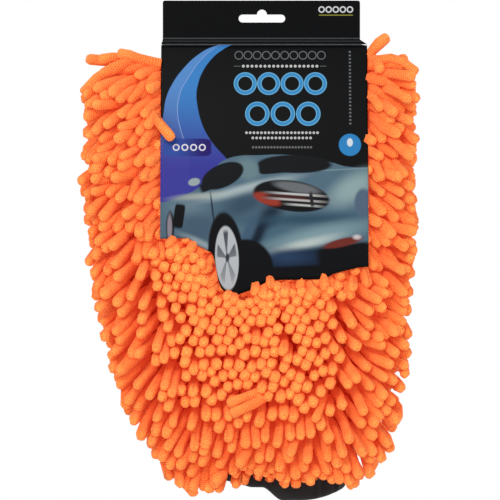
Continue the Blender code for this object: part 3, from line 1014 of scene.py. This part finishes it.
class Print(Nodes):
    """Inks on a card, laid one over another at places given in millimetres across and up."""

    def __init__(self, name, ground):
        super().__init__(name)
        x, _, z = self.split(self.place())
        self.x = self.math("DIVIDE", x, MM)
        self.z = self.math("DIVIDE", z, MM)
        self.spot = self.flat(self.x, self.z)
        self.ink = ground

    def lay(self, mask, color):
        self.ink = self.mix(mask, self.ink, color)

    def both(self, *masks):
        mask = masks[0]
        for other in masks[1:]:
            mask = self.math("MULTIPLY", mask, other)
        return mask

    def curve(self, value, points):
        """A smooth curve through (value, result) points."""
        places, results = zip(*points)
        least, most = min(results), max(results)
        share = self.fade(value, places[0], places[-1], steps="LINEAR")
        node = self.add("ShaderNodeFloatCurve", {"Value": share})
        knots = node.mapping.curves[0].points
        spots = [
            ((place - places[0]) / (places[-1] - places[0]), (result - least) / (most - least))
            for place, result in points
        ]
        knots[0].location = spots[0]
        knots[len(knots) - 1].location = spots[-1]
        for spot in spots[1:-1]:
            knots.new(*spot)
        node.mapping.update()
        return self.fade(node.outputs[0], 0, 1, least, most, steps="LINEAR")

    def within(self, value, low, high, soft=0.2):
        above = self.fade(self.math("SUBTRACT", value, low), -soft, soft)
        below = self.fade(self.math("SUBTRACT", high, value), -soft, soft)
        return self.both(above, below)

    def local(self, middle, radii, turn):
        """Places round a middle, turned, with the radii brought to 1."""
        inputs = {
            "Vector": self.spot, "Location": (middle[0], 0, middle[1]),
            "Rotation": (0, -math.radians(turn), 0), "Scale": (radii[0], 1, radii[1]),
        }
        return self.add("ShaderNodeMapping", inputs, vector_type="TEXTURE").outputs[0]

    def flat(self, x, z):
        return self.add("ShaderNodeCombineXYZ", {"X": x, "Z": z}).outputs[0]

    def length(self, vector):
        return self.add("ShaderNodeVectorMath", {0: vector}, operation="LENGTH").outputs["Value"]

    def inside(self, reach, radii, soft):
        """1 where the reach is under 1, with an edge as soft as the given millimetres."""
        edge = soft / min(radii)
        return self.fade(reach, max(1 - edge, 0), 1 + edge, 1, 0)

    def oval(self, middle, radii, turn=0, soft=0.2):
        return self.inside(self.length(self.local(middle, radii, turn)), radii, soft)

    def block(self, middle, radii, turn=0, soft=0.2):
        """A rectangle with round corners."""
        x, _, z = self.split(self.local(middle, radii, turn))
        sixths = (self.math("POWER", self.math("ABSOLUTE", c), 6) for c in (x, z))
        return self.inside(self.math("POWER", self.math("ADD", *sixths), 1 / 6), radii, soft)

    def rings(self, start, end, z, radius, thick, count):
        """A row of evenly spaced rings, or of dots if they are as thick as their radius."""
        step = (end - start) / count
        across = self.math("SUBTRACT", self.math("WRAP", self.x, start + step, start), start + step / 2)
        up = self.math("SUBTRACT", self.z, z)
        reach = self.length(self.flat(across, up))
        ring = self.within(reach, radius - thick, radius + 0.001, min(0.15, thick))
        return self.both(ring, self.within(self.x, start, end, 0.05))


SWOOSH_LEFT = (
    (-86, -60), (-72.3, -58), (-61.7, -56.8), (-51.2, -55.1), (-43, -51.5), (-34.9, -45.8),
    (-26.8, -37.6), (-21.1, -27.1), (-19.7, -16.1),
)
SWOOSH_MIDDLE = (
    (-86, -41.5), (-75.6, -45), (-67.4, -47.4), (-59.3, -48.6), (-49.5, -47.4), (-39.8, -42.5),
    (-29.2, -35.2), (-21.5, -25.5), (-19.7, -16),
)
SWOOSH_RIGHT = (
    (-110, 6), (-86.4, -20.6), (-72.3, -31.9), (-63.4, -35.6), (-56, -37.2), (-49.5, -37.8),
    (-43, -36.8), (-36.5, -34.4), (-29.2, -29.5), (-23.5, -23), (-19.7, -15.6),
)
CAR_TOP = (
    (-60, -112), (-54.3, -111.3), (-45.8, -108.4), (-37.6, -104.3), (-33, -99.2), (-27.1, -92.1),
    (-19.7, -86.8), (-13.2, -85.2), (-1.8, -84.8), (11.2, -84.4), (27.5, -86.4), (39.7, -88.9),
    (50.2, -91.5), (62, -91.7),
)


def lay_swoosh(card):
    """The two-toned blue crescent with fine lines down its length."""
    left = card.curve(card.z, SWOOSH_LEFT)
    middle = card.curve(card.z, SWOOSH_MIDDLE)
    right = card.curve(card.z, SWOOSH_RIGHT)
    below_tip = card.within(card.z, -115, -20.4, 0.3)
    swoosh = card.both(card.within(card.x, left, right), below_tip)
    low_down = card.fade(card.z, -95, -40)
    blue = card.mix(low_down, display(62, 60, 160), display(64, 140, 212))
    pale = card.mix(low_down, display(66, 64, 163), display(92, 150, 216))
    from_middle = card.math("SUBTRACT", card.x, middle)
    ground = card.mix(card.fade(from_middle, -0.15, 0.15), pale, blue)
    fine = card.math("SINE", card.math("MULTIPLY", card.math("SUBTRACT", card.x, left), 7.0))
    ground = card.mix(card.fade(fine, 0.3, 1, 0, 0.2), ground, display(44, 56, 150))
    card.lay(swoosh, ground)
    fine_line = card.both(card.within(from_middle, -0.22, 0.18, 0.1), card.within(card.z, -80, -22, 2))
    card.lay(fine_line, display(150, 175, 226))
    label = card.mix(card.fade(card.x, -52, -32), display(52, 84, 172), display(40, 26, 112))
    card.lay(card.block((-42.8, -80.3), (13.7, 5.1)), label)
    card.lay(card.rings(-51.8, -31.8, -80.3, 2.0, 0.75, 4), display(244, 240, 246))


# The car's shapes: middle, radii, turn in degrees, softness of the edge, and colour.
PALE = (186, 202, 204)
NAVY = (22, 34, 52)
BLACK = (14, 15, 18)
GLASS = (16, 20, 24)
BODY_SHADES = (
    ((-43, -116), (9, 5), -5, 4, (112, 136, 150)),
    ((-38, -127), (13, 9), 0, 6, (74, 98, 118)),
    ((-8, -93), (6, 7), 60, 3, (112, 138, 146)),
    ((52, -104), (14, 7), 30, 5, (150, 176, 178)),
    ((-35, -108.3), (14, 1.7), 5, 1.4, (168, 176, 172)),
    ((-6.7, -103.8), (22, 2.6), 14, 2.2, PALE),
    ((-10, -113), (14, 6), 20, 5, (60, 84, 104)),
    ((2, -124), (5.5, 15), -32, 4, NAVY),
    ((8, -130), (8, 5), 20, 4, (74, 108, 128)),
    ((24, -121.5), (30, 3), 2, 3, (52, 84, 104)),
    ((31, -131.5), (27, 5), 13, 4, (134, 164, 172)),
    ((24, -136), (17, 2.4), 14, 2, (196, 208, 206)),
    ((30, -146.5), (40, 8.5), 6, 2.5, (24, 38, 60)),
    ((14, -143), (12, 4), 0, 4, (42, 66, 98)),
    ((-8, -130), (3, 13), -20, 2, (70, 98, 122)),
    ((-3, -132.5), (2.2, 8), -28, 2, NAVY),
    ((-35, -135.5), (11, 2), -25, 1.5, (150, 168, 176)),
    ((58, -112), (5, 8), 0, 1, (88, 108, 130)),
)
HARD_SHAPES = (
    ("oval", (-22.6, -96.6), (12.8, 6.6), 24, 0.4, GLASS),
    ("block", (-29, -101.5), (7, 2.6), 24, 0.5, GLASS),
    ("oval", (19, -89.9), (21, 5.2), -1, 0.5, GLASS),
    ("block", (8, -91.3), (10, 4.0), 5, 0.4, GLASS),
    ("oval", (-38.9, -100.2), (3.4, 2.2), 12, 0.4, (160, 176, 176)),
    ("block", (-47.6, -119.8), (3.0, 6.9), -8, 0.4, BLACK),
    ("oval", (16.8, -108.2), (22, 8.8), -8, 0.5, BLACK),
    ("oval", (20, -103.4), (13, 2.8), -10, 0.9, (112, 116, 120)),
    ("oval", (2.8, -110), (8, 3), -20, 0.8, (164, 60, 44)),
    ("block", (14, -109.2), (12, 1.6), -3, 0.5, (74, 34, 34)),
    ("block", (20, -107.3), (13.5, 0.6), -4, 0.4, (206, 206, 204)),
    ("block", (20, -110.6), (13.5, 0.6), -4, 0.4, (196, 192, 190)),
    ("block", (24, -113.6), (8.5, 0.6), -4, 0.4, (196, 196, 194)),
    ("block", (28.4, -110.4), (1.0, 4.2), 8, 0.4, (40, 38, 42)),
    ("oval", (-28.4, -116), (0.5, 9.5), 7, 0.4, (34, 48, 64)),
    ("block", (48, -143.5), (16, 7.6), 8, 1.2, BLACK),
    ("oval", (46.2, -134.9), (11.4, 2.3), 13, 0.6, (120, 48, 40)),
    ("oval", (54.3, -131.8), (2.2, 1.3), 0, 0.9, (216, 206, 206)),
    ("block", (20, -157), (60, 8.6), 3, 1.0, BLACK),
    ("oval", (-20.6, -143), (10.2, 25.5), 4, 0.6, BLACK),
    ("oval", (-9.5, -150), (16, 17), 0, 1.0, BLACK),
    ("block", (-46, -137.2), (9, 2.0), -14, 0.8, BLACK),
    ("oval", (-52.6, -126.3), (2.3, 9.2), 0, 0.5, BLACK),
    ("oval", (-52.9, -126.5), (1.4, 7.6), 0, 0.5, (150, 140, 150)),
    ("oval", (-20.1, -143.8), (6.7, 18.3), 3, 0.3, (196, 200, 204)),
)


def lay_car(card):
    """A plain silver-blue coupe seen from behind: body, glass, lamps, arch and wheels."""
    top = card.curve(card.x, CAR_TOP)
    card.lay(card.fade(card.math("SUBTRACT", top, card.z), -0.25, 0.25), display(88, 116, 134))
    for *oval, color in BODY_SHADES:
        card.lay(card.oval(*oval), display(*color))
    shoulder = card.math("SUBTRACT", card.z, card.math("MULTIPLY", card.x, 0.05))
    edge_light = card.both(card.within(shoulder, -95.6, -95.0, 0.4), card.fade(card.x, -4, 4))
    card.lay(edge_light, display(128, 156, 164))
    for shape, *sizes, color in HARD_SHAPES:
        card.lay(getattr(card, shape)(*sizes), display(*color))
    x, _, z = card.split(card.local((-20.1, -143.8), (6.7, 18.3), 3))
    round_hub = card.math("SINE", card.math("MULTIPLY", card.math("ARCTAN2", z, x), 5.0))
    spokes = card.both(card.fade(round_hub, 0.1, 0.5), card.oval((-20.1, -143.8), (5.6, 15.6), 3, 0.6))
    card.lay(card.both(spokes, card.fade(card.z, -166, -126, 0.3, 1)), display(74, 80, 88))
    card.lay(card.oval((-19.8, -143.6), (1.1, 2.6), 0, 0.4), display(60, 64, 72))


# Rows of rings and dots: start, end, height, radius, thickness, how many, and colour.
MARK_ROWS = (
    (-16.4, 37.6, -43.2, 6.6, 2.5, 4, (120, 196, 240)),
    (-16.4, 37.6, -43.2, 6.15, 1.6, 4, (62, 146, 206)),
    (-10.0, 34.0, -60.8, 7.0, 2.5, 3, (120, 196, 240)),
    (-10.0, 34.0, -60.8, 6.55, 1.6, 3, (62, 146, 206)),
    (-16, 37, -26.6, 2.5, 0.45, 10, (120, 124, 128)),
    (-12, 33, -33.0, 0.8, 0.6, 18, (220, 220, 220)),
    (-10, 33, -71.8, 0.75, 0.6, 20, (214, 214, 214)),
    (-6.4, 29, -74.8, 0.75, 0.6, 16, (214, 214, 214)),
    (-6, 29, -80.2, 0.65, 0.5, 20, (120, 120, 122)),
    (32.5, 53.0, 0.0, 1.9, 0.75, 5, (226, 228, 230)),
)


def lay_marks(card):
    """Rows of rings and dots where a card carries its words, and a round badge."""
    for *row, color in MARK_ROWS:
        card.lay(card.rings(*row), display(*color))
    beside_dots = card.math("SUBTRACT", 1.0, card.within(card.x, -12.6, 33.6))
    rule = card.both(card.within(card.z, -33.15, -32.85, 0.1), card.within(card.x, -16.2, 37.2))
    card.lay(card.both(rule, beside_dots), display(120, 124, 128))
    column = card.both(card.within(card.x, 50.2, 51.4), card.within(card.z, -68, -23.5))
    beads = card.fade(card.math("SINE", card.math("MULTIPLY", card.z, 3.0)), -0.2, 0.3)
    card.lay(card.both(column, beads), display(112, 114, 118))
    card.lay(card.oval((50.5, -78.8), (6.4, 6.4)), display(48, 138, 204))
    card.lay(card.oval((50.5, -77.4), (1.7, 2.4)), display(226, 236, 242))
    underline = card.both(card.within(card.z, -3.5, -3.0, 0.15), card.within(card.x, 33, 52.6))
    card.lay(underline, display(168, 162, 60))


def finish_print(card, roughness):
    """Pale lines across the fold, part worn ink and part painted highlight on the creases, then the ink
    and a satin varnish.
    """
    wear_and_highlight = card.noise(card.place((0.5, 1, 6)), 900, 3, 0.7)
    # Pale crease lines: partly worn ink, partly a painted highlight where the folds catch the light.
    for z, width, pale in ((-16.7, 0.30, 0.65), (-20.25, 0.3, 0.8), (-18.3, 0.25, 0.25)):
        crease = card.within(card.z, z - width, z + width, 0.2)
        mark = card.both(crease, card.fade(wear_and_highlight, 0.3, 0.65, 0.35, pale))
        card.lay(mark, display(104, 108, 110))
    card.set(
        Base_Color=card.mix(1.0, card.ink, INK_STRENGTH, "MULTIPLY"), Roughness=roughness,
        Specular_IOR_Level=0.05,
    )
    return card.material


def front_print(look):
    card = Print("front_print", tuple(look.ground))
    lay_swoosh(card)
    lay_car(card)
    lay_marks(card)
    return finish_print(card, look.roughness)


def rear_print(look):
    """The unseen back: black, with one blue band and an empty pale panel."""
    card = Print("rear_print", display(11, 12, 14))
    band = card.math("ADD", card.z, card.math("MULTIPLY", card.x, 0.25))
    card.lay(card.within(band, -58, -44), display(52, 110, 190))
    card.lay(card.within(band, -50.2, -49.6), display(150, 175, 226))
    card.lay(card.block((0, -100), (44, 26)), display(214, 218, 222))
    return finish_print(card, look.roughness)


class MITT_OT_card(bpy.types.Operator):
    """Make the hang card's header, folds and printed panels"""

    bl_idname = "mitt.card"
    bl_label = "Hang Card"

    def execute(self, context):
        plain = Nodes("board_inside")
        fibre = plain.noise(plain.place((1, 1, 0.3)), 700, 3)
        plain.set(
            Base_Color=plain.mix(fibre, display(96, 94, 90), display(126, 123, 118)),
            Roughness=0.85, Specular_IOR_Level=0.2,
        )
        look = context.scene.mitt_card
        prints = {FRONT: front_print(look), REAR: rear_print(look)}
        for side in (FRONT, REAR):
            header_ply(side, prints[side], plain.material)
            card_fold(side, prints[side], plain.material)
            card_panel(side, prints[side], plain.material)
        return {"FINISHED"}


# Cuff and sewn body

CUFF_MIDDLE = 13.2 * MM
CUFF_HALF_WIDTH = 33 * MM
CUFF_HALF_DEPTH = 13 * MM
TURNS = 220
ELASTIC_HALF = 0.55 * MM
RIB = 0.12 * MM
ELASTIC_MIDDLE = -276 * MM
ELASTIC_REACH = 6 * MM
GATHER = 0.35 * MM
CLOTH_THICKNESS = 0.5 * MM
WELD = 0.02 * MM


def cuff_spot(turn, lift, z):
    """A point on the gathered cuff at a turn round it, out from its line and at a height."""
    gathers = math.sin(23 * turn) + 0.6 * math.sin(37 * turn + 1.1) + 0.4 * math.sin(11 * turn)
    held = math.exp(-(((z - ELASTIC_MIDDLE) / ELASTIC_REACH) ** 2))
    out = lift + GATHER * gathers * (1.2 - 0.5 * held)
    x = CUFF_MIDDLE + (CUFF_HALF_WIDTH + out) * math.cos(turn)
    y = (CUFF_HALF_DEPTH + out) * math.sin(turn)
    low = smooth(-270 * MM, -283 * MM, z)
    left = 7.5 * MM * smooth(12 * MM, 0, x) + 3 * MM * smooth(-6 * MM, -16 * MM, x)
    right = 6 * MM * min(max((x - 22 * MM) / (24 * MM), 0), 1.1) ** 2
    return x, y, z + low * (left + right)


def cuff_sweep(name, path, rows):
    """A band swept round the cuff along a path of (lift, height); as many rows as points close it."""

    def place(across, down):
        return cuff_spot(across * 2 * math.pi, *path[round(down * rows) % len(path)])

    bm = grid_mesh(TURNS, rows, place)
    bmesh.ops.remove_doubles(bm, verts=bm.verts, dist=WELD)
    bmesh.ops.recalc_face_normals(bm, faces=bm.faces)
    return to_mesh(bm, name)


def gathered_casing(material):
    """The hem's folded casing, gathered by the elastic inside it."""
    outer, inner = 1.5 * MM, -1.5 * MM
    path = [(outer, z * MM) for z in (-266.8, -269, -271.5, -274.5, -277.5, -280, -282)]
    path += [(0.9 * MM, -282.9 * MM), (0, -283.2 * MM), (-0.9 * MM, -282.9 * MM)]
    path += [(inner, z * MM) for z in (-282, -280, -277.5, -274.5, -271.5, -269, -267.4)]
    mesh = cuff_sweep("cuff_hem", path, len(path) - 1)
    ob = new_piece("cuff_hem", mesh, "mitt", "black_jersey", material)
    cloth = ob.modifiers.new("cloth", "SOLIDIFY")
    cloth.thickness = CLOTH_THICKNESS
    cloth.offset = 0
    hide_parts("cuff_casing")


def gathered_elastic(material):
    """The elastic inside the casing, with ribs along it."""
    heights = np.linspace(-272.2, -279.8, 9) * MM
    ribs = [ELASTIC_HALF + RIB * (k % 2) for k in range(len(heights))]
    path = list(zip(ribs, heights)) + [(-rib, z) for rib, z in zip(ribs, heights[::-1])]
    mesh = cuff_sweep("cuff_band", path, len(path))
    ob = new_piece("cuff_band", mesh, "mitt", "elastic", material)
    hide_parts("cuff_elastic")


def cloth_piece(name, node, slot, material):
    """A cut of cloth, smoothed, in the place of its CAD layer."""
    bm = merged_copy(node)
    bmesh.ops.join_triangles(
        bm, faces=bm.faces, angle_face_threshold=0.5, angle_shape_threshold=1.2
    )
    bmesh.ops.subdivide_edges(bm, edges=bm.edges, cuts=1, use_grid_fill=True)
    bmesh.ops.smooth_vert(bm, verts=bm.verts, factor=0.3, use_axis_y=True)
    bmesh.ops.recalc_face_normals(bm, faces=bm.faces)
    ob = new_piece(name, to_mesh(bm, name), "mitt", slot, material)
    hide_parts(node)


class MITT_OT_body(bpy.types.Operator):
    """Make the sewn cloth body, its gathered cuff and small fittings"""

    bl_idname = "mitt.body"
    bl_label = "Sewn Body"

    def execute(self, context):
        look = context.scene.mitt_cloth
        orange = plain_cloth("backing_cloth", tuple(look.backing), 900)
        black = plain_cloth("black_knit", tuple(look.lining), 900)
        jersey = plain_cloth("black_jersey", tuple(look.lining), 1500, sheen=0.1)
        thread = plain_cloth("black_thread", (0.012, 0.012, 0.013), 3000)
        nylon = Nodes("clear_nylon")
        nylon.set(Base_Color=(0.85, 0.87, 0.88), Roughness=0.3, Transmission_Weight=0.5, IOR=1.53)
        rubber = Nodes("elastic")
        rubber.set(Base_Color=tuple(look.elastic), Roughness=0.8)
        satin = plain_cloth("label_satin", (0.80, 0.80, 0.78), 4000, roughness=0.4, sheen=0.0)
        for word in SIDE_WORDS.values():
            pile_cloth, inner_cloth = word + "_pile_cloth", word + "_inner_cloth"
            cloth_piece(
                pile_cloth, word + "_backing", "backing_cloth", orange
            )
            cloth_piece(
                inner_cloth, word + "_lining", "black_knit", black
            )
        gathered_casing(jersey)
        gathered_elastic(rubber.material)
        for node, material in (
            ("edge_seam", orange), ("cuff_hem_thread", thread), ("cuff_join_thread", thread),
            ("care_label", satin),
            ("tag_pin_left", nylon.material), ("tag_pin_right", nylon.material),
        ):
            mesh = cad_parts[node].data
            mesh.materials.clear()
            mesh.materials.append(material)
        return {"FINISHED"}


# Stage


FLOOR_DROP = 0.35
FLOOR_HALF = 4


def area_light(name, place, target, size, power):
    light = bpy.data.lights.new(name, "AREA")
    light.shape = "SQUARE"
    light.size = size
    light.energy = power
    ob = bpy.data.objects.new(name, light)
    ob.location = place
    ob.rotation_euler = (Vector(target) - Vector(place)).to_track_quat("-Z", "Y").to_euler()
    bpy.context.scene.collection.objects.link(ob)


class MITT_OT_stage(bpy.types.Operator):
    """Lay the floor, light the mitt and set up the camera"""

    bl_idname = "mitt.stage"
    bl_label = "Stage"

    def execute(self, context):
        scene = context.scene
        stage = scene.mitt_stage
        low = CAD_BOX[0][2]
        middle = Vector(stage.middle)
        bm = bmesh.new()
        bmesh.ops.create_grid(bm, x_segments=1, y_segments=1, size=FLOOR_HALF)
        bmesh.ops.translate(bm, verts=bm.verts, vec=(0, 0, low - FLOOR_DROP))
        floor = bpy.data.objects.new("floor", to_mesh(bm, "floor", smooth=False))
        floor_look = Nodes("floor")
        floor_look.set(Base_Color=(0.8, 0.8, 0.8), Roughness=0.9)
        floor.data.materials.append(floor_look.material)
        scene.collection.objects.link(floor)
        world = bpy.data.worlds.new("studio")
        world.use_nodes = True
        sky = world.node_tree.nodes["Background"]
        sky.inputs["Color"].default_value = (1, 1, 1, 1)
        sky.inputs["Strength"].default_value = 1.0
        scene.world = world
        area_light("key", (-0.5, -1.3, 0.75), middle, 0.7, 17)
        area_light("fill", (0.9, -1.1, 0.1), middle, 0.9, 3.8)
        camera = bpy.data.cameras.new("camera")
        camera.sensor_width = 36
        camera.lens = camera.sensor_width * stage.distance / stage.height
        ob = bpy.data.objects.new("camera", camera)
        ob.location = middle + Vector((0, -stage.distance, 0))
        ob.rotation_euler = (math.radians(90), 0, 0)
        scene.collection.objects.link(ob)
        scene.camera = ob
        scene.view_settings.view_transform = "Standard"
        return {"FINISHED"}


STEPS = ("pile", "card", "body", "stage")


class MITT_PT_panel(bpy.types.Panel):
    """Builds the mitt piece by piece"""

    bl_label = "Wash Mitt"
    bl_idname = "MITT_PT_panel"
    bl_space_type = "VIEW_3D"
    bl_region_type = "UI"
    bl_category = "Wash Mitt"

    def draw(self, context):
        for step in STEPS:
            self.layout.operator("mitt." + step)


SETTINGS = {
    "mitt_pile": PileSettings, "mitt_card": CardSettings, "mitt_cloth": ClothSettings,
    "mitt_stage": StageSettings,
}
CLASSES = (
    *SETTINGS.values(), MITT_OT_pile, MITT_OT_card, MITT_OT_body, MITT_OT_stage, MITT_PT_panel,
)


def register():
    for cls in CLASSES:
        bpy.utils.register_class(cls)
    for name, group in SETTINGS.items():
        setattr(bpy.types.Scene, name, PointerProperty(type=group))


def unregister():
    for name in SETTINGS:
        delattr(bpy.types.Scene, name)
    for cls in reversed(CLASSES):
        bpy.utils.unregister_class(cls)


def main():
    register()
    for step in STEPS:
        getattr(bpy.ops.mitt, step)()


if __name__ == "__main__":
    main()
